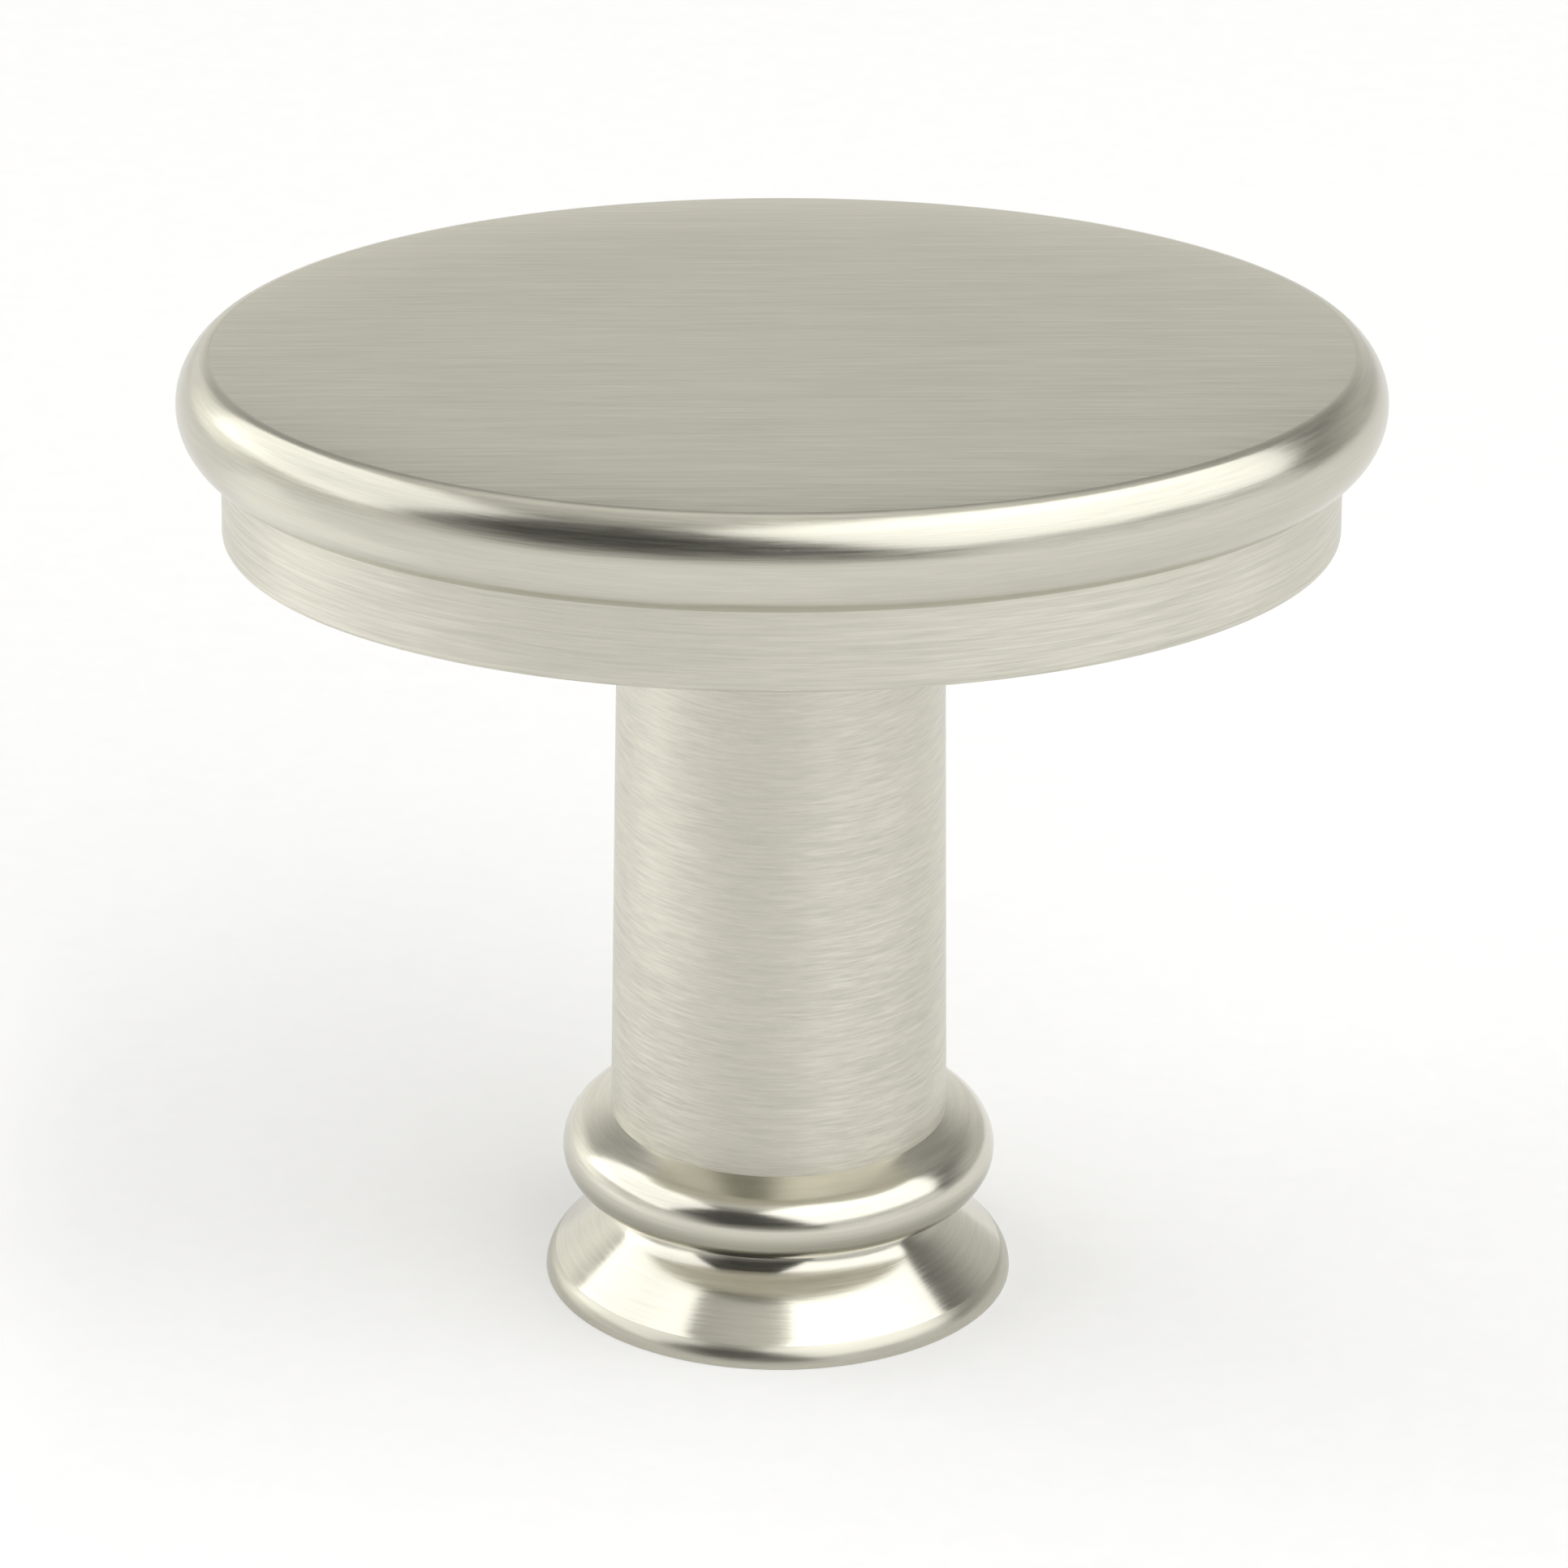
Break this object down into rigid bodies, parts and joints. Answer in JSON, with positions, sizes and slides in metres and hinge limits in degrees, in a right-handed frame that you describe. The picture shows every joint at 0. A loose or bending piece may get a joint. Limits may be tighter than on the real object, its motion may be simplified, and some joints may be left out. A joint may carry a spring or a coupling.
{
  "type": "cabinet knob",
  "caption": "Oval cabinet knob with a rounded bead edge on a round column stem, with a collar and flared foot tapped for a fixing screw, in brushed nickel finish.",
  "frame": {"origin": "centre of the foot's flat underside, where the knob meets the door or drawer front", "axes": "+Z along the stem away from the door, +X along the head's length, +Y along the head's width"},
  "size_m": [0.04, 0.028, 0.0337],
  "materials": {
    "brushed_nickel": "satin nickel plate, brushed lengthwise on the top face and round the sides, brighter on collar and foot"
  },
  "bodies": {
    "root": {"knob": "brushed_nickel"}
  },
  "joints": []
}
